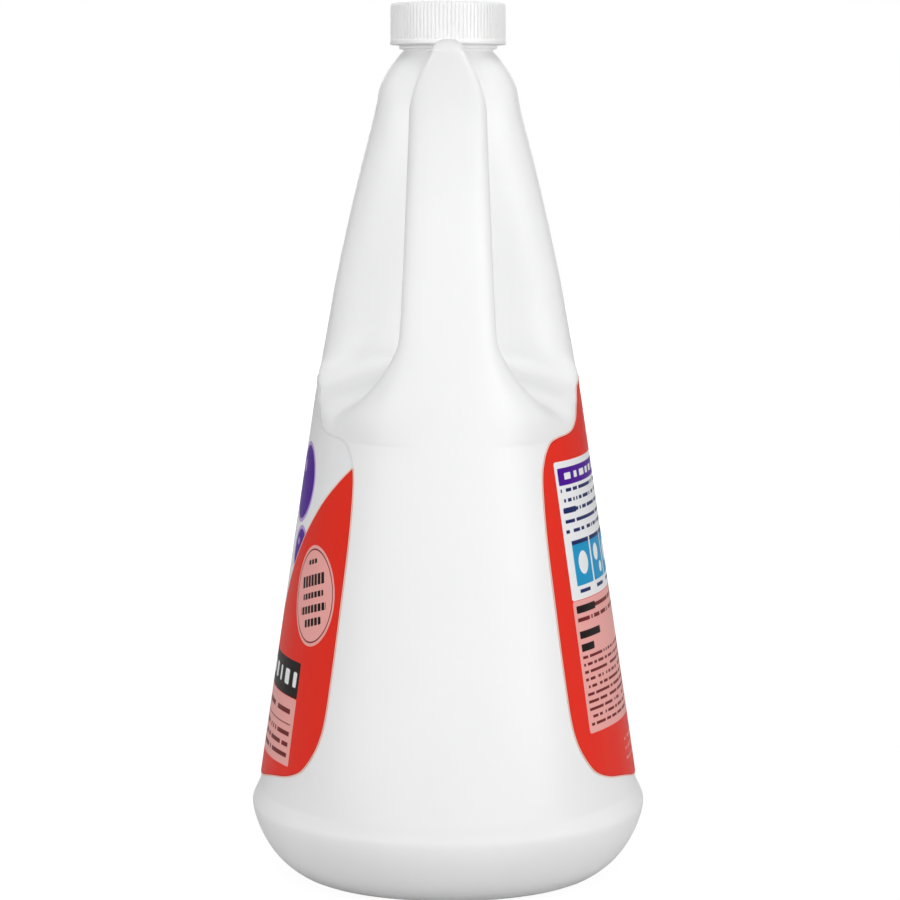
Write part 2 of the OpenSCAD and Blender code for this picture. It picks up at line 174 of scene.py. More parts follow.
# %% Sizes and blends
TOTAL_H, BODY_W, BODY_D = 300, 137, 148
RIDGE_H, WAIST_H, WAIST_IN, LEAN_H = 23.5, 32, 2.9, 24
SHOULDER_W, COLUMN_W, COLUMN_BULGE = 88.4, 50, 1.2
SQUARENESS, FOOT_W, FOOT_RISE, WALL = 2.15, 95, 4, 1.2
COLUMN_SQUARE = 2.8
OPENING_LOW, OPENING_HIGH, COLUMN_FACE = 184, 268, 14
GRIP_REACH, FOOT_REACH, CORNER_REACH, CORNER_DROP = 55, 63.5, 61, 4.5
GRIP_T, CREST_T, BEND_R = 19.5, 6.5, 10
GRIP_W, ROOT_W, FLARE_W = 27.8, 11.4, 80
NECK_BACK, NECK_R, RING_R, FINISH_R, MOUTH_R = 8, 15.4, 16.9, 17, 13.5
CAP_LOW, LIP_H, RING_HIGH, RING_LOW, NECK_LOW = 285.6, 297.6, 285.2, 284.3, 283.2
DOME_LOW, NECK_FOOT_R = 263.2, 15.8
LABEL_HIGH = 176
ROOF_H = 34
ROOF_LOW = OPENING_LOW - ROOF_H
SPLIT_H, FLOOR_H, FOOT_HIGH = OPENING_LOW - 5, OPENING_LOW - 2, OPENING_LOW + 6
GRIP_MID = (OPENING_LOW + OPENING_HIGH) / 2
CAP_SIDE = 11.9
ARM_BEND, BACK_BEND = 0.8, 0.95
ARM_HIGH, CREST_X = CAP_LOW + 1.3, CAP_SIDE + 10
CORNER_HIGH = ARM_HIGH - CORNER_DROP
GATHER_LOW = CORNER_HIGH - 20

def mix(a, b, t):
    return a + (b - a) * t

def along(v, a, b):
    return max(0.0, min(1.0, (v - a) / (b - a)))

def ease(t):
    return t * t * (3 - 2 * t)

def soft_ease(t):
    """Like ease, but its bend grows from nothing too, so that it leaves no crease."""
    return t ** 3 * (t * (6 * t - 15) + 10)

def spow(v, e):
    """Power that keeps the sign, for rounded squares."""
    return math.copysign(abs(v) ** e, v) if abs(v) > 1e-9 else 0.0

def cosd(a):
    return math.cos(math.radians(a))

def sind(a):
    return math.sin(math.radians(a))

# %% [markdown]
# ## Level sections
#
# Half of a section is numbered from the handle side round to the back. The
# other half is its mirror image. Seen from above, the section is widest on a
# line that leans back to the axis of the neck, because the neck stands behind
# the middle of the base.

# %% Widths and depths at a height
def flank_share(a):
    """How far angle a lies on a flank, where the label panel is set back above the heel."""
    return ease(along(min(a, 180 - a), 22, 62))

def heel_in(z):
    """How far the rounded heel lies inside the ridge at height z."""
    u = 1 - along(z, 0, RIDGE_H)
    return (BODY_W - FOOT_W) / 2 * (1 - (1 - u ** 1.42) ** (1 / 2.08))

def panel_in(z):
    return WAIST_IN * ease(along(z, RIDGE_H, WAIST_H))

def lean(z, top):
    """Share of the way from the ridge to a height, for a wall that starts level and then leans in."""
    def leaned(rise):
        return rise ** 2 / (2 * LEAN_H) if rise < LEAN_H else rise - LEAN_H / 2
    return leaned(z - RIDGE_H) / leaned(top - RIDGE_H)

def half_w(z, a=90):
    """Half the width of the bottle at height z, as its point at angle a counts it."""
    if z < RIDGE_H:
        return BODY_W / 2 - heel_in(z)
    if z < LABEL_HIGH:
        plain = mix(BODY_W, SHOULDER_W, lean(z, LABEL_HIGH)) / 2
        panel = mix(BODY_W / 2 - panel_in(z), SHOULDER_W / 2, along(z, WAIST_H, LABEL_HIGH))
        return mix(plain, panel, flank_share(a))
    if z < DOME_LOW:
        t = along(z, LABEL_HIGH, DOME_LOW)
        return mix(SHOULDER_W, COLUMN_W, t) / 2 + COLUMN_BULGE * 4 * t * (1 - t)
    t = along(z, DOME_LOW, NECK_LOW)
    return mix(NECK_FOOT_R, COLUMN_W / 2, (1 - t * t) ** 0.95)

def middle_x(z):
    return -NECK_BACK * along(z, WAIST_H, NECK_LOW)

def back_r(z, a=90):
    return half_w(z, a) * mix(BODY_D / BODY_W, 1, along(z, WAIST_H, NECK_LOW))

# The front corners of the panels swell a little, so that they meet the grip's slope without a crease
PANEL_CROWN = 3.25

def outer_x(z, a=0):
    """The handle side: up the body, in to the grip and out to its upper corner."""
    if z < RIDGE_H:
        return back_r(z)
    if z < ROOF_LOW:
        plain = mix(BODY_D / 2, FOOT_REACH, lean(z, ROOF_LOW))
        t = along(z, WAIST_H, ROOF_LOW)
        panel = mix((BODY_W / 2 - panel_in(z)) * BODY_D / BODY_W, FOOT_REACH, t) + PANEL_CROWN * t * (1 - t)
        return mix(plain, panel, flank_share(a))
    return (GRIP_REACH + (FOOT_REACH - GRIP_REACH) * (1 - along(z, ROOF_LOW, OPENING_HIGH)) ** 1.25
            + (CORNER_REACH - GRIP_REACH) * along(z, GRIP_MID, CORNER_HIGH) ** 2.5)

def belly_r(z, a=0):
    return outer_x(z, a) - middle_x(z)

def column_r(z):
    return mix(COLUMN_FACE, NECK_FOOT_R - NECK_BACK, ease(along(z, DOME_LOW, NECK_LOW))) - middle_x(z)

def section_point(z, front_r, a, out=0.0, square=SQUARENESS):
    """Point of the section at height z, at angle a from the handle side."""
    e = 2 / mix(square if a < 90 else SQUARENESS, 2, along(z, DOME_LOW, NECK_LOW))
    reach = front_r if a < 90 else back_r(z, a)
    return (middle_x(z) + (reach + out) * spow(cosd(a), e), (half_w(z, a) + out) * spow(sind(a), e), z)

# %% [markdown]
# ## Where the handle leaves the body
#
# Below the finger opening the full section parts in two: the foot of the handle
# and the column behind it. The first points of a section turn into the foot,
# the next ones into the floor of the opening, the rest into the column. The
# handle spreads like a fan where it runs out into the body.

# %% Handle sections and the parting of the section
BODY_ANGLES = [0, 12, 25, 38, 50, 57, 63, 68, 73, 78, 84, 90, 98, 107, 118, 128, 138, 148, 159, 169.5, 180]
FOOT_ANGLES = [0, 20, 42, 66, 90, 120, 148]
COLUMN_ANGLES = [16, 36, 56, 76, 93, 106, 117, 127, 137, 148, 159, 169.5, 180]
ROOT_ANGLES = [10, 22, 46, 72]
LAST = len(BODY_ANGLES) - 1
WEB_A = len(FOOT_ANGLES) - 1
WEB_B = LAST - len(COLUMN_ANGLES) + 1

def spread(z):
    return (FLARE_W - GRIP_W) / 2 * (1 - along(z, ROOF_LOW + 6, FOOT_HIGH)) ** 1.65

def grip_half_w(z):
    if z < GATHER_LOW:
        return GRIP_W / 2 + spread(z) + mix(2, -1.3, along(z, FOOT_HIGH, GATHER_LOW) ** 0.85)
    return mix(GRIP_W / 2 - 1.3, ROOT_W / 2, along(z, GATHER_LOW, CORNER_HIGH) ** 2)

def inner_x(z):
    return outer_x(z) - GRIP_T - spread(z)

def grip_bend(a, z):
    """Power that shapes the handle's section: rounder where it spreads, flat at its upper corner."""
    if a >= 90:
        return BACK_BEND
    flat = 0.25 * along(z, OPENING_HIGH - 38, CORNER_HIGH)
    return mix(1, ARM_BEND, along(z, ROOF_LOW + 6, FOOT_HIGH)) - flat

def foot_point(z, a):
    r = GRIP_T - CREST_T
    m = inner_x(z) + r
    e = grip_bend(a, z)
    return (m + (outer_x(z) - m if a < 90 else r) * spow(cosd(a), e), grip_half_w(z) * spow(sind(a), e), z)

def column_angle(z, k):
    """Near its top the column's front points draw together, where the arm of the handle grows in."""
    a = COLUMN_ANGLES[k]
    return mix(a, ROOT_ANGLES[k], along(z, 235, 264)) if k < len(ROOT_ANGLES) else a

def split_point(z, k):
    if k < WEB_A:
        return foot_point(z, FOOT_ANGLES[k])
    q = section_point(z, column_r(z), column_angle(z, max(0, k - WEB_B)), square=COLUMN_SQUARE)
    if k > WEB_B:
        return q
    s = (k - WEB_A) / (WEB_B - WEB_A)
    p = foot_point(z, FOOT_ANGLES[WEB_A])
    return (mix(p[0], q[0], s), mix(p[1], q[1], s) - 1.5 * sind(180 * s), z)

def blend_at(z, k):
    """How far point k has gone from the full section to the parted one at height z."""
    low = mix(ROOF_LOW + 5, LABEL_HIGH, along(BODY_ANGLES[k], 56, 88) ** 0.8)
    if k < WEB_A:
        foot = ROOF_LOW + 6 * (k / (WEB_A - 1)) ** 3
        return soft_ease(along(z, foot, foot + ROOF_H / 2))
    if k <= WEB_B:
        t = along(z, low, SPLIT_H)
        return mix(t ** 1.25, ease(t), 0.25)
    return ease(along(z, low, low + mix(19, 28, along(BODY_ANGLES[k], 78, 100))))

def body_point(z, k):
    t = blend_at(z, k)
    full = section_point(z, belly_r(z, BODY_ANGLES[k]), BODY_ANGLES[k])
    parted = split_point(z, k)
    return tuple(mix(full[i], parted[i], t) for i in range(3))

def whole(half):
    """The half of a ring and its mirror image, as one closed ring."""
    return half + [(x, -y, z) for x, y, z in half[-2:0:-1]]

def body_ring(z):
    return whole([body_point(z, k) for k in range(LAST + 1)])

def column_ring(z):
    return whole([section_point(z, column_r(z), 0)] + [body_point(z, k) for k in range(WEB_B, LAST + 1)])

def grip_ring(z):
    return whole([foot_point(z, a) for a in FOOT_ANGLES + [180]])

print("points in a ring of the body, column and grip:",
      len(body_ring(50)), len(column_ring(220)), len(grip_ring(220)))

# %% [markdown]
# ## The cage: base and body
#
# The cage could be sculpted, but then its wall would wander. Instead it grows
# as one does it by hand: a filled circle is the flat of the base, and its rim
# is extruded again and again, each time on to the next section. The base has a
# shallow hollow, so the bottle stands on a narrow ring.

# %% Extruding a rim on to the next section
def edit(obj):
    """Edit mode with obj alone selected."""
    bpy.ops.object.select_all(action="DESELECT")
    bpy.context.view_layer.objects.active = obj
    obj.select_set(True)
    bpy.ops.object.mode_set(mode="EDIT")
    bpy.ops.mesh.select_mode(type="EDGE")
    bpy.ops.mesh.select_all(action="DESELECT")

def done():
    bpy.ops.object.mode_set(mode="OBJECT")

def corners_of(obj):
    """The corners of the mesh in edit mode, numbered."""
    shape = bmesh.from_edit_mesh(obj.data)
    shape.verts.index_update()
    shape.verts.ensure_lookup_table()
    return shape

def select_chain(obj, ring, closed=True):
    """Select the edges from each corner of ring to the next."""
    shape = corners_of(obj)
    after = ring[1:] + ring[:1] if closed else ring[1:]
    for a, b in zip(ring, after):
        shape.edges.get((shape.verts[a], shape.verts[b])).select_set(True)
    bmesh.update_edit_mesh(obj.data)

def place_corners(obj, ring, points):
    """Move the corners of ring to points, given in millimetres."""
    shape = corners_of(obj)
    for number, point in zip(ring, points):
        shape.verts[number].co = Vector(point) * MM
    bmesh.update_edit_mesh(obj.data)

def pull_ring(obj, ring, points):
    """Extrude the rim of ring once, put it on points and return its numbers."""
    bpy.ops.mesh.select_all(action="DESELECT")
    select_chain(obj, ring)
    count = len(corners_of(obj).verts)
    bpy.ops.mesh.extrude_edges_move()
    shape = corners_of(obj)
    new_ring = []
    for number in ring:
        corner = shape.verts[number]
        ends = [edge.other_vert(corner).index for edge in corner.link_edges]
        new_ring.append(next(end for end in ends if end >= count))
    place_corners(obj, new_ring, points)
    return new_ring

# %% Base, heel and body
def base_ring(r, z):
    """A level ring of the base, with the body's corners, at half width r."""
    ratio = r / half_w(0)
    return [(x * ratio, y * ratio, z) for x, y, _ in body_ring(0)]

RING_N = 2 * LAST
bpy.ops.mesh.primitive_circle_add(vertices=RING_N, radius=33 * MM, fill_type="NGON")
skin = bpy.context.active_object
skin.name = "bottle_skin"
edit(skin)
ring = list(range(RING_N))
place_corners(skin, ring, base_ring(18, FOOT_RISE))
for r, z in [(30, FOOT_RISE), (35, FOOT_RISE - 0.8), (40.5, 0.7), (42.5, 0.05), (45, 0)]:
    ring = pull_ring(skin, ring, base_ring(r, z))
heel = [RIDGE_H * t for t in (0, 0.04, 0.12, 0.25, 0.42, 0.62, 0.82, 1)]
flank = [mix(WAIST_H, ROOF_LOW, t) for t in (0.12, 0.33, 0.56, 0.8, 1)]
roof = [mix(ROOF_LOW, SPLIT_H, t / 7) for t in range(1, 8)]
for z in heel + [26, 29, WAIST_H] + flank + roof:
    ring = pull_ring(skin, ring, body_ring(z))
print("faces of the body's cage:", len(corners_of(skin).faces))

# %% [markdown]
# ## The cage: floor of the opening, column and grip
#
# A bridge between the two flanks, with one cut along its middle, makes the
# floor of the finger opening. On each side of it an open rim is left. The large
# one grows up as the column, the small one as the grip.

# %% Bridge, column and grip
near = [ring[k] for k in range(WEB_A, WEB_B + 1)]
far = [ring[RING_N - k] for k in range(WEB_A, WEB_B + 1)]
bpy.ops.mesh.select_all(action="DESELECT")
select_chain(skin, near, closed=False)
select_chain(skin, far, closed=False)
count = len(corners_of(skin).verts)
bpy.ops.mesh.bridge_edge_loops(number_cuts=1, interpolation="LINEAR")
shape = corners_of(skin)
middle = [v.index for v in sorted(list(shape.verts)[count:], key=lambda v: -v.co.x)]
front, back = inner_x(FLOOR_H), column_r(FLOOR_H) + middle_x(FLOOR_H)
place_corners(skin, middle, [
    (mix(front, back, s), 0, FLOOR_H - 0.6 * sind(180 * s)) for s in (0, 0.5, 1)])

column = [middle[-1]] + [ring[k] for k in range(WEB_B, RING_N - WEB_B + 1)]
grip = [ring[k] for k in range(WEB_A + 1)] + [middle[0]] + [ring[k] for k in range(RING_N - WEB_A, RING_N)]
ROOT_ROWS = [264, 271.5, 278.5, NECK_LOW]
root_rings = []
for z in [FLOOR_H + 2, 199, 215, 232, 249] + ROOT_ROWS:
    column = pull_ring(skin, column, column_ring(z))
    if z in ROOT_ROWS:
        root_rings.append(column)
for z in [FLOOR_H + 2, FOOT_HIGH, 202, 214, GRIP_MID, 242]:
    grip = pull_ring(skin, grip, grip_ring(z))
print("corners of the cage so far:", len(corners_of(skin).verts))

# %% [markdown]
# ## The cage: bend and arm of the handle
#
# The grip bends over to the neck with a round inner corner and an almost sharp
# outer one, and then runs as a narrow arm under the cap. Each station is given
# by its outermost and its innermost point and by half its width.

# %% Stations of the bend
BEND_Z = OPENING_HIGH - BEND_R
BEND_X = inner_x(BEND_Z) - BEND_R
NECK_FRONT = NECK_R - NECK_BACK - 2

def arm_top(x):
    if x > CREST_X:
        return ARM_HIGH - CORNER_DROP * ((x - CREST_X) / (CORNER_REACH - CREST_X)) ** 2
    return ARM_HIGH - (ARM_HIGH - RING_LOW + 2) * ((CREST_X - x) / (CREST_X - NECK_FRONT)) ** 1.4

def bend_outer(t):
    if t <= 45:
        z = mix(BEND_Z, CORNER_HIGH, t / 45)
        return (outer_x(z), 0, z)
    x = mix(CORNER_REACH, BEND_X, t / 45 - 1)
    return (x, 0, arm_top(x))

def arm_ring(outer, inner, half, bend=ARM_BEND):
    """Ring of the handle between two points of its middle plane."""
    outer, inner = Vector(outer), Vector(inner)
    depth = (outer - inner).length
    way = (outer - inner) / depth
    middle = outer - way * CREST_T
    ring = []
    for a in FOOT_ANGLES + [180]:
        e = bend if a < 90 else BACK_BEND
        reach = CREST_T if a < 90 else depth - CREST_T
        aside = Vector((0, half * spow(sind(a), e), 0))
        ring.append(tuple(middle + way * reach * spow(cosd(a), e) + aside))
    return whole(ring)

for t in (0, 15, 29, 38, 45, 53, 62, 75, 90):
    outer = bend_outer(t)
    inner = (BEND_X + BEND_R * cosd(t), 0, BEND_Z + BEND_R * sind(t))
    half = grip_half_w(bend_outer(min(t, 45))[2])
    bend = mix(grip_bend(0, outer[2]), ARM_BEND, along(t, 45, 75))
    grip = pull_ring(skin, grip, arm_ring(outer, inner, half, bend))
    if t == 45:
        bpy.ops.mesh.select_all(action="DESELECT")
        select_chain(skin, grip[-3:] + grip[:4], closed=False)
        bpy.ops.transform.edge_crease(value=0.9)
ARM_END = CREST_X - 3.5
grip = pull_ring(skin, grip, arm_ring(
    (ARM_END, 0, arm_top(ARM_END)), (COLUMN_FACE + 5.5, 0, OPENING_HIGH - 0.6), ROOT_W / 2))

# %% [markdown]
# The arm has to grow into the column just below the neck. Six corners of the
# column's front are deleted with the twelve faces round them. That leaves a hole
# with as many corners as the arm's open end, and a bridge joins the two rims.

# %% Joining the arm to the column
lowest, low_row, high_row, highest = root_rings
hole_points = ([highest[i] for i in (0, 1, 2)] + [high_row[2], low_row[2]]
               + [lowest[i] for i in (2, 1, 0, -1, -2)] + [low_row[-2], high_row[-2]]
               + [highest[i] for i in (-2, -1)])
shape = corners_of(skin)
hole_places = [shape.verts[i].co.copy() for i in hole_points]
grip_places = [shape.verts[i].co.copy() for i in grip]
before = len(shape.faces)
bpy.ops.mesh.select_mode(type="VERT")
bpy.ops.mesh.select_all(action="DESELECT")
shape = corners_of(skin)
for i in (-1, 0, 1):
    shape.verts[low_row[i]].select_set(True)
    shape.verts[high_row[i]].select_set(True)
bmesh.update_edit_mesh(skin.data)
bpy.ops.mesh.delete(type="VERT")
bpy.ops.mesh.select_mode(type="EDGE")
print("faces taken out:", before - len(corners_of(skin).faces))

def nearest_corners(obj, places):
    """Numbers of the corners that lie at places."""
    shape = corners_of(obj)
    return [min(shape.verts, key=lambda v: (v.co - place).length).index for place in places]

hole = nearest_corners(skin, hole_places)
grip = nearest_corners(skin, grip_places)
before = len(corners_of(skin).faces)
bpy.ops.mesh.select_all(action="DESELECT")
select_chain(skin, hole)
select_chain(skin, grip)
bpy.ops.mesh.bridge_edge_loops()
print("faces of the bridge:", len(corners_of(skin).faces) - before)
bpy.ops.mesh.select_all(action="SELECT")
bpy.ops.mesh.normals_make_consistent(inside=False)
done()
print("cage:", len(skin.data.vertices), "corners,", len(skin.data.polygons), "faces")

# %% [markdown]
# ## Smoothing the cage
#
# A subdivision surface rounds a cage, but it also shrinks away from its
# corners. So the cage is first pushed out: we measure how far the smooth
# surface falls short of each chosen point, move the corner by as much, and
# repeat this a few times. The smooth skin then passes through the sections.

# %% Fitting the smooth skin to its sections
def fit_smooth(obj, levels, turns):
    """Subdivide obj so that the smooth surface passes through the cage's corners."""
    goal = [v.co.copy() for v in obj.data.vertices]
    smooth = obj.modifiers.new("smooth", "SUBSURF")
    smooth.levels = smooth.render_levels = levels
    for turn in range(turns):
        bpy.context.view_layer.update()
        rounded = obj.evaluated_get(bpy.context.evaluated_depsgraph_get()).data
        short = [wanted - rounded.vertices[i].co for i, wanted in enumerate(goal)]
        for corner, step in zip(obj.data.vertices, short):
            corner.co += step
        obj.data.update()
    print("largest miss after fitting, in mm:", round(max(step.length for step in short) * 1000, 3))
    apply_modifier(obj, "smooth")

def apply_modifier(obj, name):
    bpy.ops.object.select_all(action="DESELECT")
    bpy.context.view_layer.objects.active = obj
    obj.select_set(True)
    bpy.ops.object.modifier_apply(modifier=name)

fit_smooth(skin, 2, 5)

# %% [markdown]
# ## The wall
#
# The bottle is hollow, handle and all. Solidify gives the skin a wall that
# grows inwards, so the outside stays where it is. Its rim is left open at the
# neck, because the neck is built on to it next.

# %% A wall that grows inwards
outer_count = len(skin.data.vertices)
wall = skin.modifiers.new("wall", "SOLIDIFY")
wall.thickness = WALL * MM
wall.offset = -1
wall.use_rim = False
apply_modifier(skin, "wall")
print("skin with its wall:", len(skin.data.polygons), "faces")

# %% [markdown]
# ## The neck
#
# A neck is turned, so each step of its profile is a round ring: the plain neck,
# the ring below the cap, the part that carries the thread, the lip and the
# mouth. The last ring inside is bridged to the rim of the inner wall.

# %% Turning the neck
NECK_X = -NECK_BACK

def open_rim(obj, first, end):
    """The open rim among the corners numbered from first to end, sorted by angle round the neck."""
    shape = corners_of(obj)
    rim = []
    for corner in list(shape.verts)[first:end]:
        if corner.is_boundary:
            rim.append((math.atan2(corner.co.y, corner.co.x - NECK_X * MM), corner.index))
    rim.sort()
    return [number for angle, number in rim], [angle for angle, number in rim]

def round_ring(angles, r, z):
    return [(NECK_X + r * math.cos(a), r * math.sin(a), z) for a in angles]

edit(skin)
rim, angles = open_rim(skin, 0, outer_count)
inner_rim, _ = open_rim(skin, outer_count, 2 * outer_count)
print("corners round the neck:", len(rim))
neck_profile = [
    (NECK_R + 0.1, NECK_LOW + 0.15), (NECK_R, NECK_LOW + 0.4), (NECK_R, RING_LOW - 0.4),
    (RING_R - 0.15, RING_LOW - 0.1), (RING_R, RING_LOW + 0.1), (RING_R, RING_HIGH - 0.1),
    (RING_R - 0.15, RING_HIGH), (FINISH_R, RING_HIGH + 0.25), (FINISH_R, LIP_H - 1),
    (FINISH_R - 0.3, LIP_H - 0.3), (FINISH_R - 1, LIP_H), (MOUTH_R + 0.5, LIP_H),
    (MOUTH_R, LIP_H - 0.5), (MOUTH_R, NECK_LOW + 1), (MOUTH_R + 0.4, NECK_LOW - 0.6)]
for r, z in neck_profile:
    rim = pull_ring(skin, rim, round_ring(angles, r, z))
bpy.ops.mesh.select_all(action="DESELECT")
select_chain(skin, rim)
select_chain(skin, inner_rim)
bpy.ops.mesh.bridge_edge_loops()
print("open edges left:", sum(edge.is_boundary for edge in corners_of(skin).edges))
done()
bpy.ops.object.shade_smooth_by_angle(angle=math.radians(38))

# %% [markdown]
# ## Blown polyethylene
#
# The plastic is white all through and has a satin skin. It is never quite
# even: the mould leaves a fine pebble, and the wall draws in a little as it
# cools, which a broad soft bump shows in the gloss. Nodes on Object coordinates
# make both without any picture.

# %% Material of the bottle
def noise(tree, coords, scale, detail=2.0):
    node = tree.nodes.new("ShaderNodeTexNoise")
    node.inputs["Scale"].default_value = scale
    node.inputs["Detail"].default_value = detail
    link(tree, coords, node.inputs["Vector"])
    return node.outputs["Fac"]

def ramp(tree, value, low, high):
    """value from 0..1 to low..high."""
    node = tree.nodes.new("ShaderNodeMapRange")
    node.inputs["To Min"].default_value = low
    node.inputs["To Max"].default_value = high
    link(tree, value, node.inputs["Value"])
    return node.outputs["Result"]

def bump(tree, height, strength, distance, under=None):
    node = tree.nodes.new("ShaderNodeBump")
    node.inputs["Strength"].default_value = strength
    node.inputs["Distance"].default_value = distance
    link(tree, height, node.inputs["Height"])
    if under is not None:
        link(tree, under, node.inputs["Normal"])
    return node.outputs["Normal"]

def object_coords(tree):
    return tree.nodes.new("ShaderNodeTexCoord").outputs["Object"]

bottle_paint, tree, shader = new_material("bottle_plastic")
coords = object_coords(tree)
tint = tree.nodes.new("ShaderNodeMix")
tint.data_type = "RGBA"
tint.inputs[6].default_value = (0.872, 0.874, 0.876, 1)
tint.inputs[7].default_value = (0.900, 0.900, 0.900, 1)
link(tree, noise(tree, coords, 30), tint.inputs[0])
link(tree, tint.outputs[2], shader.inputs["Base Color"])
link(tree, ramp(tree, noise(tree, coords, 900, 3), 0.36, 0.48), shader.inputs["Roughness"])
wavy = bump(tree, noise(tree, coords, 45), 0.10, 0.0006)
link(tree, bump(tree, noise(tree, coords, 2600, 2), 0.10, 0.00004, wavy), shader.inputs["Normal"])
shader.inputs["IOR"].default_value = 1.5
shader.inputs["Specular IOR Level"].default_value = 0.35
skin.data.materials.append(bottle_paint)
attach(skin, "bottle")
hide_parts("bottle")

# %% [markdown]
# ## Screw threads
#
# A thread is one small profile swept along a helix. The Screw modifier does
# that from a single loop of four corners. The neck's thread points outwards and
# the cap's thread points inwards, half a pitch apart, so they run past each
# other as the cap turns. Both fade out at their ends, as moulded threads do.

# %% Neck thread and cap thread
PITCH = 4.23

def thread(name, low, turns, root, crest, start):
    """A thread from height low, between the radii root and crest, that begins at angle start."""
    bpy.ops.mesh.primitive_circle_add(vertices=4, radius=1 * MM)
    helix = bpy.context.active_object
    helix.name = name
    edit(helix)
    place_corners(helix, [0, 1, 2, 3], [(root, 0, -1.1), (crest, 0, -0.35), (crest, 0, 0.35), (root, 0, 1.1)])
    done()
    screw = helix.modifiers.new("helix", "SCREW")
    screw.angle = 2 * math.pi * turns
    screw.screw_offset = PITCH * turns * MM
    screw.steps = screw.render_steps = round(64 * turns)
    screw.use_merge_vertices = False
    apply_modifier(helix, "helix")
    for corner in helix.data.vertices:
        along_helix = corner.co.z / MM / PITCH
        angle = math.atan2(corner.co.y, corner.co.x)
        turn = round(along_helix - angle / (2 * math.pi)) + angle / (2 * math.pi)
        fade = ease(along(turn, 0, 0.12)) * ease(along(turns - turn, 0, 0.12))
        r = math.hypot(corner.co.x, corner.co.y) / MM
        r = mix(root, r, max(0.02, fade))
        angle += start
        corner.co = Vector((NECK_X + r * math.cos(angle), r * math.sin(angle), corner.co.z / MM + low)) * MM
    edit(helix)
    bpy.ops.mesh.select_non_manifold()
    bpy.ops.mesh.edge_face_add()
    bpy.ops.mesh.select_all(action="SELECT")
    bpy.ops.mesh.normals_make_consistent(inside=False)
    done()
    bpy.ops.object.shade_smooth_by_angle(angle=math.radians(30))
    print(name, "has", len(helix.data.polygons), "faces")
    return helix

neck_thread = thread("neck_thread", 288.6, 1.4, FINISH_R - 0.1, 18.15, 0.6)
neck_thread.data.materials.append(bottle_paint)
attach(neck_thread, "bottle")

# %% [markdown]
# ## The cap
#
# The cap is a moulded cup with ninety-two fine ribs, a plain bead at its lower
# edge and a rounded upper edge into which the ribs run out. It is turned like
# the neck, from the middle of its top outwards, down the skirt and back up
# inside. The ribs are in the rings themselves: six corners make one rib.

# %% Turning the cap
RIB_N, RIB_T, BEAD_H, BEAD_OUT = 92, 0.5, 1.5, 0.15
CAP_R, CAP_TOP, BORE_R = 19.9, 1.4, 18.5
RIB_SHAPE = (0.05, 0.0, 0.0, 0.05, 0.95, 0.95)
STEPS = len(RIB_SHAPE) * RIB_N

def cap_ring(r, z, rib):
    """A ring of the cap, with ribs that are rib times their full depth."""
    points = []
    for i in range(STEPS):
        a = 2 * math.pi * i / STEPS
        inside = r - RIB_T * rib * RIB_SHAPE[i % len(RIB_SHAPE)]
        points.append((NECK_X + inside * math.cos(a), inside * math.sin(a), z))
    return points

BEAD_R = CAP_R + BEAD_OUT
BEAD_TOP = CAP_LOW + BEAD_H
cap_profile = [
    (12, TOTAL_H, 0), (CAP_R - 1.9, TOTAL_H, 0), (CAP_R - 1.25, TOTAL_H - 0.04, 0.15),
    (CAP_R - 0.75, TOTAL_H - 0.2, 0.45), (CAP_R - 0.35, TOTAL_H - 0.5, 0.75),
    (CAP_R - 0.1, TOTAL_H - 0.95, 0.95), (CAP_R, TOTAL_H - 1.5, 1),
    (CAP_R, BEAD_TOP + 0.45, 1), (CAP_R, BEAD_TOP + 0.12, 0.6),
    (CAP_R + 0.02, BEAD_TOP, 0), (BEAD_R - 0.03, BEAD_TOP - 0.12, 0), (BEAD_R, BEAD_TOP - 0.3, 0),
    (BEAD_R, CAP_LOW + 0.3, 0), (BEAD_R - 0.1, CAP_LOW + 0.08, 0), (BEAD_R - 0.3, CAP_LOW, 0),
    (BORE_R + 0.3, CAP_LOW, 0), (BORE_R, CAP_LOW + 0.3, 0), (BORE_R, TOTAL_H - CAP_TOP - 0.3, 0),
    (BORE_R - 0.3, TOTAL_H - CAP_TOP, 0), (12, TOTAL_H - CAP_TOP, 0)]
bpy.ops.mesh.primitive_circle_add(vertices=STEPS, radius=4 * MM, fill_type="NGON")
cap = bpy.context.active_object
cap.name = "ribbed_cap"
edit(cap)
ring = list(range(STEPS))
place_corners(cap, ring, cap_ring(4, TOTAL_H, 0))
for r, z, rib in cap_profile:
    ring = pull_ring(cap, ring, cap_ring(r, z, rib))
ring = pull_ring(cap, ring, cap_ring(4, TOTAL_H - CAP_TOP, 0))
bpy.ops.mesh.select_all(action="DESELECT")
select_chain(cap, ring)
bpy.ops.mesh.edge_face_add()
bpy.ops.mesh.select_all(action="SELECT")
bpy.ops.mesh.normals_make_consistent(inside=False)
done()
bpy.ops.object.shade_smooth_by_angle(angle=math.radians(50))
print("cap:", len(cap.data.polygons), "faces")
cap_thread = thread("cap_thread", 288.6 + PITCH / 2, 1.2, BORE_R + 0.1, 17.35, 2.2)

# %% Cap plastic and disc foam
cap_paint, tree, shader = new_material("cap_plastic")
coords = object_coords(tree)
shader.inputs["Base Color"].default_value = (0.885, 0.885, 0.885, 1)
link(tree, ramp(tree, noise(tree, coords, 1200, 2), 0.30, 0.40), shader.inputs["Roughness"])
link(tree, bump(tree, noise(tree, coords, 1500, 2), 0.08, 0.00005), shader.inputs["Normal"])
shader.inputs["Specular IOR Level"].default_value = 0.4
for piece in (cap, cap_thread):
    piece.data.materials.append(cap_paint)
    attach(piece, "cap")
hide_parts("screw_cap")

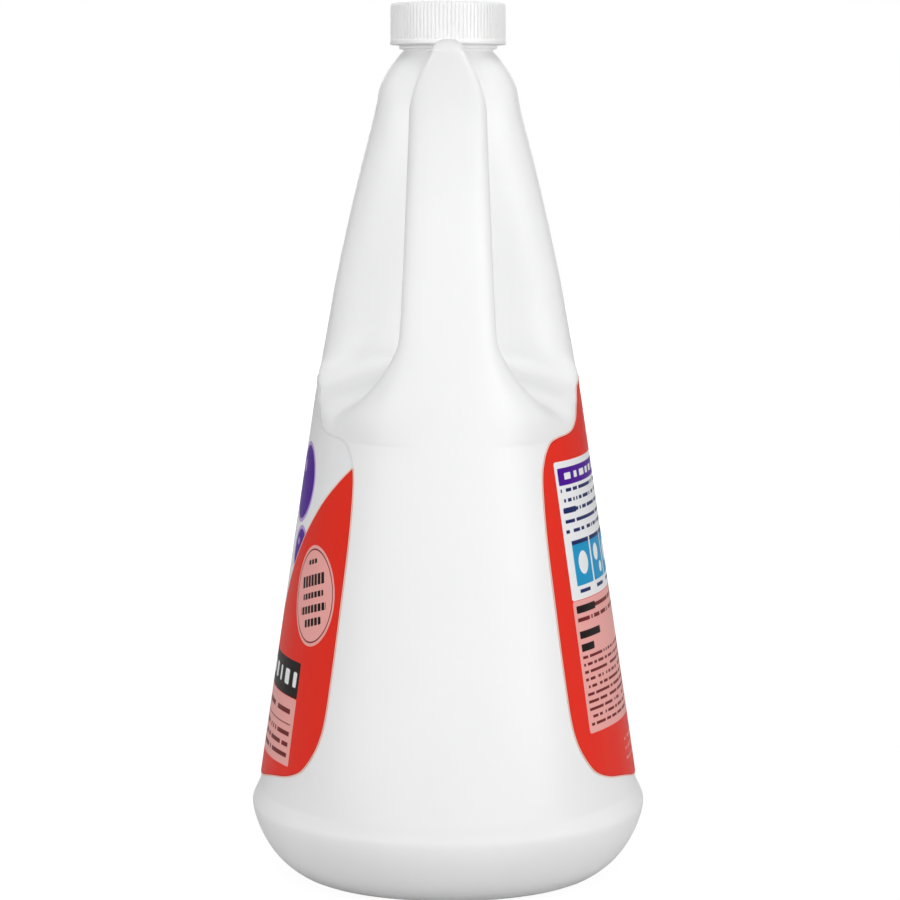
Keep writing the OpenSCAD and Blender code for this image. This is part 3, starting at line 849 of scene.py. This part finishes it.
foam_paint, tree, shader = new_material("liner_foam")
coords = object_coords(tree)
shader.inputs["Base Color"].default_value = (0.82, 0.82, 0.80, 1)
shader.inputs["Roughness"].default_value = 0.7
cells = tree.nodes.new("ShaderNodeTexVoronoi")
cells.inputs["Scale"].default_value = 2500
link(tree, coords, cells.inputs["Vector"])
link(tree, bump(tree, cells.outputs["Distance"], 0.4, 0.0001), shader.inputs["Normal"])
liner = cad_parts["cap_liner"]
liner.data.materials.clear()
liner.data.materials.append(foam_paint)

# %% [markdown]
# ## The labels
#
# A film label is cut flat and then wrapped on the flank. Its shape is easiest
# to draw on the unrolled flank, where one direction is the height and the other
# is the distance round the bottle from its widest line. Four curves bound the
# label there, a grid is stretched between them, and each corner of the grid is
# put on the bottle. Shrinkwrap then lays the sheet on the wall itself.

# %% Unrolling the flank
import numpy as np

ARC_ANGLES = np.arange(24.0, 157.0, 1.0)
ARC_HEIGHTS = np.arange(30.0, 180.0, 2.0)

def arc_row(z):
    """Distance round the bottle from its widest line to each of ARC_ANGLES, at height z."""
    points = np.array([section_point(z, belly_r(z, a), a)[:2] for a in ARC_ANGLES])
    walk = np.concatenate([[0], np.cumsum(np.hypot(*np.diff(points, axis=0).T))])
    return np.interp(90.0, ARC_ANGLES, walk) - walk

arc_table = np.array([arc_row(z) for z in ARC_HEIGHTS])

def flank_point(s, z, side, out):
    """Point of the flank at distance s and height z. side is 1 for +Y and -1 for -Y."""
    k = (z - ARC_HEIGHTS[0]) / (ARC_HEIGHTS[1] - ARC_HEIGHTS[0])
    row = mix(arc_table[int(k)], arc_table[int(k) + 1], k - int(k))
    a = float(np.interp(-s, -row, ARC_ANGLES))
    x, y, z = section_point(z, belly_r(z, a), a, out)
    return (x, side * y, z)

print("the label panel is", round(float(arc_table[40].max() - arc_table[40].min())), "mm round at",
      ARC_HEIGHTS[40], "mm")

# %% Four edges of a label
def curve(points, count):
    """count points, evenly spaced, on a smooth curve through points."""
    points = np.array([points[0]] + list(points) + [points[-1]], dtype=float)
    fine = []
    for p0, p1, p2, p3 in zip(points, points[1:], points[2:], points[3:]):
        for t in np.linspace(0, 1, 12, endpoint=False):
            fine.append(0.5 * (2 * p1 + (p2 - p0) * t + (2 * p0 - 5 * p1 + 4 * p2 - p3) * t ** 2
                               + (3 * p1 - p0 - 3 * p2 + p3) * t ** 3))
    fine.append(points[-2])
    fine = np.array(fine)
    walk = np.concatenate([[0], np.cumsum(np.hypot(*np.diff(fine, axis=0).T))])
    even = np.linspace(0, walk[-1], count)
    return np.stack([np.interp(even, walk, fine[:, 0]), np.interp(even, walk, fine[:, 1])], axis=1)

COLUMNS, ROWS = 80, 100
lower_edge = curve([(-54.5, 47), (-50, 42.6), (-42, 39.4), (-30, 37.2), (-15, 34.4), (0, 33.4),
                    (15, 34.4), (30, 37.2), (43, 39.4), (51.8, 42.6), (56.4, 47)], COLUMNS)
upper_edge = curve([(-54, 163), (-50, 168), (-42, 171.5), (-28, 173.4), (-12, 174), (2, 173.6), (10, 172.5),
                    (16.5, 170), (22, 166.5), (26, 163), (29.5, 159.6), (34, 157), (40, 155.8),
                    (47, 155.2), (52.5, 153.8), (56.2, 150)], COLUMNS)
handle_side = curve([(56.4, 47), (60, 53), (62, 62), (62.3, 80), (62, 100), (61.4, 122), (60, 138),
                     (58.6, 145), (56.2, 150)], ROWS)
back_side = curve([(-54.5, 47), (-58, 53), (-60, 62), (-60.3, 80), (-60, 100), (-59.4, 122), (-58.2, 140),
                   (-56.5, 155), (-54, 163)], ROWS)
outline = np.concatenate([lower_edge, handle_side, upper_edge[::-1], back_side[::-1]])

def sheet_point(i, j):
    """Point of the sheet in column i and row j, stretched between the four edges."""
    u, v = i / (COLUMNS - 1), j / (ROWS - 1)
    sides = (1 - v) * lower_edge[i] + v * upper_edge[i] + (1 - u) * back_side[j] + u * handle_side[j]
    ends = ((1 - u) * (1 - v) * lower_edge[0] + u * (1 - v) * lower_edge[-1]
            + (1 - u) * v * upper_edge[0] + u * v * upper_edge[-1])
    return sides - ends

def rim_distance(points):
    """How far each point lies inside the outline."""
    nearest = np.full(len(points), 1e9)
    for a, b in zip(outline, np.roll(outline, -1, axis=0)):
        way = b - a
        t = np.clip(((points - a) @ way) / max(way @ way, 1e-9), 0, 1)
        nearest = np.minimum(nearest, np.hypot(*(points - a - t[:, None] * way).T))
    return nearest

# %% Laying the labels on the bottle
GAP, FILM = 0.1, 0.2

def label(name, side):
    """A label on the flank of that side, with its print map and its distance to the edge."""
    bpy.ops.mesh.primitive_grid_add(x_subdivisions=COLUMNS - 1, y_subdivisions=ROWS - 1, size=2)
    sheet = bpy.context.active_object
    sheet.name = name
    flat = np.array([
        sheet_point(round((v.co.x + 1) / 2 * (COLUMNS - 1)), round((v.co.y + 1) / 2 * (ROWS - 1)))
        for v in sheet.data.vertices])
    inside = rim_distance(flat)
    for corner, (s, z) in zip(sheet.data.vertices, flat):
        corner.co = Vector(flank_point(s, z, side, 0.4)) * MM
    print_map = sheet.data.uv_layers[0]
    print_map.name = "print"
    rim_map = sheet.data.uv_layers.new(name="rim")
    for loop in sheet.data.loops:
        s, z = flat[loop.vertex_index]
        print_map.data[loop.index].uv = (s / 200 + 0.5, z / 200)
        rim_map.data[loop.index].uv = (inside[loop.vertex_index] / 10, 0)
    edit(sheet)
    bpy.ops.mesh.select_all(action="SELECT")
    if side > 0:
        bpy.ops.mesh.flip_normals()
    done()
    lay = sheet.modifiers.new("lay", "SHRINKWRAP")
    lay.target = skin
    lay.wrap_mode = "ABOVE_SURFACE"
    lay.offset = GAP * MM
    apply_modifier(sheet, "lay")
    film = sheet.modifiers.new("film", "SOLIDIFY")
    film.thickness = FILM * MM
    film.offset = 1
    apply_modifier(sheet, "film")
    bpy.ops.object.shade_smooth_by_angle(angle=math.radians(40))
    middle = sheet.data.polygons[len(sheet.data.polygons) // 4]
    print(name, "faces:", len(sheet.data.polygons), "first side looks outwards:", middle.normal.y * side > 0)
    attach(sheet, "bottle")
    return sheet

front_sheet = label("front_film", -1)
back_sheet = label("back_film", 1)
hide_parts("front_label")
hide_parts("back_label")

# %% [markdown]
# ## Printing the labels
#
# The print is all flat fields: bands, boxes, ovals and rows of short bars where
# a real label has its small print. A picture would blur up close, so each field
# is a distance to its edge, worked out by nodes from the print map. Where the
# distance passes zero, one ink covers the other. All places are in millimetres:
# s runs round the flank from its widest line towards the handle, z runs up.

# %% Numbers that nodes work out
class Number:
    """A number of a node tree. Math with it makes Math nodes, but reads like plain Python."""
    def __init__(self, tree, socket):
        self.tree, self.socket = tree, socket

    def __add__(self, other):
        return calc("ADD", self, other)

    def __sub__(self, other):
        return calc("SUBTRACT", self, other)

    def __rsub__(self, other):
        return calc("SUBTRACT", other, self)

    def __mul__(self, other):
        return calc("MULTIPLY", self, other)

    def __truediv__(self, other):
        return calc("DIVIDE", self, other)

    def __abs__(self):
        return calc("ABSOLUTE", self)

def give_values(node, values):
    """Set or link the first sockets of a node, and return its result."""
    tree = next(value.tree for value in values if isinstance(value, Number))
    for socket, value in zip(node.inputs, values):
        if isinstance(value, Number):
            link(tree, value.socket, socket)
        else:
            socket.default_value = value
    return Number(tree, node.outputs[0])

def calc(operation, *values):
    """A Math node, whose values are plain numbers or Numbers."""
    tree = next(value.tree for value in values if isinstance(value, Number))
    node = tree.nodes.new("ShaderNodeMath")
    node.operation = operation
    return give_values(node, values)

def map_value(tree, name, axis):
    node = tree.nodes.new("ShaderNodeUVMap")
    node.uv_map = name
    parts = tree.nodes.new("ShaderNodeSeparateXYZ")
    link(tree, node.outputs[0], parts.inputs[0])
    return Number(tree, parts.outputs[axis])

def length(a, b):
    return calc("SQRT", a * a + b * b)

# %% Shapes as distances
def local(place, centre, tilt=0):
    """Place measured from a centre, turned by tilt degrees."""
    s, z = place[0] - centre[0], place[1] - centre[1]
    if not tilt:
        return s, z
    return s * cosd(tilt) + z * sind(tilt), s * -sind(tilt) + z * cosd(tilt)

def node_group(name, count, work):
    """A group of nodes that turns count numbers into one, so that many shapes can share it."""
    group = bpy.data.node_groups.new(name, "ShaderNodeTree")
    for i in range(count):
        group.interface.new_socket("Value %d" % (i + 1), in_out="INPUT", socket_type="NodeSocketFloat")
    group.interface.new_socket("Distance", in_out="OUTPUT", socket_type="NodeSocketFloat")
    given = group.nodes.new("NodeGroupInput")
    result = group.nodes.new("NodeGroupOutput")
    answer = work(*[Number(group, given.outputs[i]) for i in range(count)])
    link(group, answer.socket, result.inputs[0])
    return group

def use_group(group, s, z, *sizes):
    node = s.tree.nodes.new("ShaderNodeGroup")
    node.node_tree = group
    return give_values(node, (s, z, *sizes))

def both(a, b):
    return calc("MAXIMUM", a, b)

def box_work(s, z, half_s, half_z, r):
    ds, dz = abs(s) - (half_s - r), abs(z) - (half_z - r)
    return length(both(ds, 0), both(dz, 0)) + calc("MINIMUM", both(ds, dz), 0) - r

def oval_work(s, z, half_s, half_z):
    return (length(s / half_s, z / half_z) - 1) * calc("MINIMUM", half_s, half_z)

box_group = node_group("rounded_box", 5, box_work)
oval_group = node_group("oval", 4, oval_work)

def box(place, centre, half, r=0.0, tilt=0):
    """Distance to a box with rounded corners, negative inside."""
    return use_group(box_group, *local(place, centre, tilt), *half, r)

def oval(place, centre, half, tilt=0):
    return use_group(oval_group, *local(place, centre, tilt), *half)

# %% Inks
def cover(distance, soft=0.14):
    """1 inside a shape and 0 outside, with a soft edge as wide as soft."""
    share = 0.5 - distance / soft
    share.socket.node.use_clamp = True
    return share

def print_ink(under, ink, mask):
    """Print an ink over what is under it, where mask is 1."""
    node = mask.tree.nodes.new("ShaderNodeMix")
    node.data_type = "RGBA"
    for socket, value in ((node.inputs[6], under), (node.inputs[7], ink)):
        if isinstance(value, tuple):
            socket.default_value = (*value, 1)
        else:
            link(mask.tree, value, socket)
    link(mask.tree, mask.socket, node.inputs[0])
    return node.outputs[2]

def stamp(under, ink, distance, soft=0.14):
    """Print an ink over what is under it, inside a shape."""
    return print_ink(under, ink, cover(distance, soft))

def random_value(a, b, seed):
    """A random number from 0 to 1 for each pair of whole numbers."""
    pair = a.tree.nodes.new("ShaderNodeCombineXYZ")
    give_values(pair, (a, b, seed))
    node = a.tree.nodes.new("ShaderNodeTexWhiteNoise")
    node.noise_dimensions = "3D"
    link(a.tree, pair.outputs[0], node.inputs["Vector"])
    return Number(a.tree, node.outputs["Value"])

def bar_rows(place, low, high, pitch, tall, start, end, word, seed, ragged=5.0):
    """Rows of short bars from start (handle side) to end, which stand for small print."""
    s, z = place
    row = calc("FLOOR", (z - low) / pitch)
    off = abs(z - ((row + 0.5) * pitch + low)) - tall / 2
    word_no = calc("FLOOR", (s + random_value(row, row, seed) * 30) / word)
    gap = calc("LESS_THAN", random_value(word_no, row, seed + 1), 0.24)
    stop = random_value(row, row, seed + 2) * ragged + end
    limits = both(both(s - start, stop - s), both(low - z, z - high))
    return cover(both(off, limits)) * (1 - gap)

RED = (0.80, 0.030, 0.016)
WHITE = (0.86, 0.86, 0.87)
PINK = (0.86, 0.40, 0.37)
BLACK = (0.012, 0.008, 0.007)
PURPLE = (0.075, 0.004, 0.30)
LILAC = (0.50, 0.34, 0.72)
LIME = (0.78, 0.80, 0.06)
BLUE = (0.013, 0.31, 0.58)
NAVY = (0.010, 0.020, 0.12)
MAROON = (0.16, 0.012, 0.012)
PALE_EDGE = (0.88, 0.56, 0.48)
FILM_EDGE = (0.80, 0.80, 0.81)
# Painted shade for the thin line just inside a label's cut edge, where the film is white
FILM_EDGE_SHADE = (0.55, 0.54, 0.55)

# %% [markdown]
# The front label is white above and red below, with a sweeping edge between
# the two. On the white float a few purple bubbles, and on the red lie an oval
# badge, a black band and a pink panel. All of them are plain shapes that hold
# nothing but bars and dots.

# %% Front print
def printed_film(name):
    """A film's material, and the place of a point on it in millimetres."""
    material, tree, shader = new_material(name)
    s = (map_value(tree, "print", 0) - 0.5) * 200
    return material, tree, shader, (s, map_value(tree, "print", 1) * 200)

def finish_film(tree, shader, ink, edge=PALE_EDGE, line=MAROON):
    """The film's cut edge, a thin line of painted shade just inside it, its gloss and its faint waves."""
    rim = map_value(tree, "rim", 0) * 10
    # Painted shade: a thin darker line 0.62 mm inside the cut edge, mixed in at 0.35
    ink = print_ink(ink, line, cover(abs(rim - 0.62) - 0.16, 0.2) * 0.35)
    link(tree, stamp(ink, edge, rim - 0.40, 0.15), shader.inputs["Base Color"])
    coords = object_coords(tree)
    link(tree, ramp(tree, noise(tree, coords, 700), 0.30, 0.42), shader.inputs["Roughness"])
    wavy = bump(tree, noise(tree, coords, 60), 0.08, 0.0004)
    link(tree, bump(tree, noise(tree, coords, 2200), 0.05, 0.00003, wavy), shader.inputs["Normal"])
    shader.inputs["Specular IOR Level"].default_value = 0.12

front_print, tree, shader, place = printed_film("front_print")
s, z = place
ink = stamp(WHITE, LIME, oval(place, (-14, 179), (27, 15)), 3.0)
ink = stamp(ink, PURPLE, box(place, (-21, 162.5), (24, 1.3), 1.2))
BUBBLES = ((19.5, 137, 12.5), (25.5, 114, 7.5), (1, 147, 5.5), (-4, 120, 12.5),
           (-28, 133, 10.5), (-41, 113, 8), (-21, 107, 5))
for at_s, at_z, r in BUBBLES:
    bubble = oval(place, (at_s, at_z), (r, r))
    ink = stamp(ink, LILAC, bubble - 1.3)
    ink = stamp(ink, PURPLE, bubble)
    ink = stamp(ink, LILAC, oval(place, (at_s - 0.4 * r, at_z + 0.4 * r), (0.17 * r, 0.17 * r)))

# The red field is a wide disc and a wavy ground that run into each other
disc = length(*local(place, (215, -49))) - 250
ground = z - (calc("SINE", (s + 30) * 0.055) * 5 + 83)
red_field = calc("SMOOTH_MIN", disc, ground, 14)
ink = stamp(ink, PALE_EDGE, red_field - 0.55)
ink = stamp(ink, RED, red_field)

# %% Badge, band and panel of the front print
BADGE, BADGE_TILT, BADGE_PITCH = (44.6, 101.5), 15, 2.3
badge = oval(place, BADGE, (13.6, 17), tilt=BADGE_TILT)
ink = stamp(ink, PINK, badge)
ink = stamp(ink, MAROON, abs(badge + 1.1) - 0.2)
# Each row of the badge: its height over the middle, half its width, half its bars' height
BADGE_ROWS = ((11.5, 3.2, 0.8), (5.2, 8.2, 1.9), (0.2, 7.2, 1.0), (-4.4, 8.6, 1.3), (-8.9, 5.4, 1.3))
for up, half, half_bar in BADGE_ROWS:
    at = local(place, BADGE, BADGE_TILT)
    slot = 0.28 - abs(at[0] - (calc("FLOOR", at[0] / BADGE_PITCH) + 0.5) * BADGE_PITCH)
    ink = stamp(ink, BLACK, both(box(at, (0, up), (half, half_bar), 0.5), slot))

ink = stamp(ink, BLACK, box(place, (0, 72.1), (43, 6.1), 0.6))
for k, half in enumerate((1.5, 2.2, 1.1, 2.0, 1.6, 2.4, 1.3, 2.2, 1.7, 1.1, 2.0)):
    ink = stamp(ink, WHITE, box(place, (39.5 - 7.4 * k, 72.1), (half, 2.6), 0.7))
ink = stamp(ink, PINK, box(place, (0, 54.4), (43, 11.4), 0.6))
ink = stamp(ink, MAROON, box(place, (0, 56.8), (40.5, 0.18)))
ink = print_ink(ink, MAROON, bar_rows(place, 58.6, 63.4, 4.8, 1.7, 40.5, -30, 1.9, 3))
ink = print_ink(ink, MAROON, bar_rows(place, 44.6, 55.4, 3.6, 1.5, 40.5, -38, 1.6, 7))
edge = stamp(FILM_EDGE, PALE_EDGE, red_field)
# The painted shade inside the cut edge is maroon on the red field and grey on the white
line = stamp(FILM_EDGE_SHADE, MAROON, red_field)
finish_film(tree, shader, ink, edge, line)
front_sheet.data.materials.append(front_print)
print("nodes in the front print:", len(tree.nodes))

# %% [markdown]
# The back label carries the directions on a real bottle. Here its white and its
# pink panel hold rows of bars of the same weight, and its row of blue boxes
# holds plain white discs.

# %% Back print
back_print, tree, shader, place = printed_film("back_print")
ink = stamp(RED, WHITE, box(place, (0, 123.8), (52.4, 23.2), 1.0))
ink = stamp(ink, PURPLE, box(place, (0, 141.9), (50.8, 2.9), 0.4))
for k, half in enumerate((2.3, 1.4, 2.6, 1.8, 2.2, 1.2)):
    ink = stamp(ink, WHITE, box(place, (44.5 - 6.6 * k, 141.9), (half, 1.1), 0.4))
for low, high, seed in ((128.9, 138.9, 11), (121.9, 128.6, 17)):
    ink = print_ink(ink, NAVY, bar_rows(place, low, high, 3.35, 1.15, 50.4, -50, 1.3, seed, 14))
ink = stamp(ink, NAVY, box(place, (45.8, 130.6), (4.4, 0.95), 0.2))
for k in range(6):
    middle = 41.1 - 15.1 * k
    ink = stamp(ink, BLUE, box(place, (middle, 112.6), (6.9, 7.5), 0.3))
    ink = stamp(ink, NAVY, box(place, (middle, 119.6), (6.9, 0.7)))
    discs = (((0, 112.4), 3.9),) if k % 2 == 0 else (((1.6, 114.2), 2.9), ((-2.6, 108.6), 1.9))
    for (aside, at_z), r in discs:
        ink = stamp(ink, WHITE, oval(place, (middle + aside, at_z), (r, r)))
    ink = stamp(ink, NAVY, box(place, (middle + 1.2, 103.2), (4.2, 0.6), 0.2))
ink = stamp(ink, PINK, box(place, (0, 78.2), (52.4, 22.2), 1.0))
ink = print_ink(ink, MAROON, bar_rows(place, 92.2, 99.2, 3.5, 1.3, 50.6, -50, 1.3, 23, 16))
for at_s, at_z, half in ((43.4, 97.4, 7.2), (42.6, 88.9, 8.0), (46.0, 84.6, 4.6)):
    ink = stamp(ink, BLACK, box(place, (at_s, at_z), (half, 1.25), 0.3))
ink = print_ink(ink, MAROON, bar_rows(place, 57.6, 82.6, 2.5, 0.95, 50.6, -50, 1.2, 29, 8))
ink = print_ink(ink, PINK, bar_rows(place, 40.5, 50.5, 3.3, 0.9, 24, -24, 1.3, 31, 6) * 0.7)
ink = print_ink(ink, PINK, bar_rows(place, 152, 162, 3.3, 1.0, 12, -22, 1.3, 37, 6) * 0.8)
# The painted shade inside the back label's cut edge is maroon all round
finish_film(tree, shader, ink)
back_sheet.data.materials.append(back_print)
print("nodes in the back print:", len(tree.nodes))
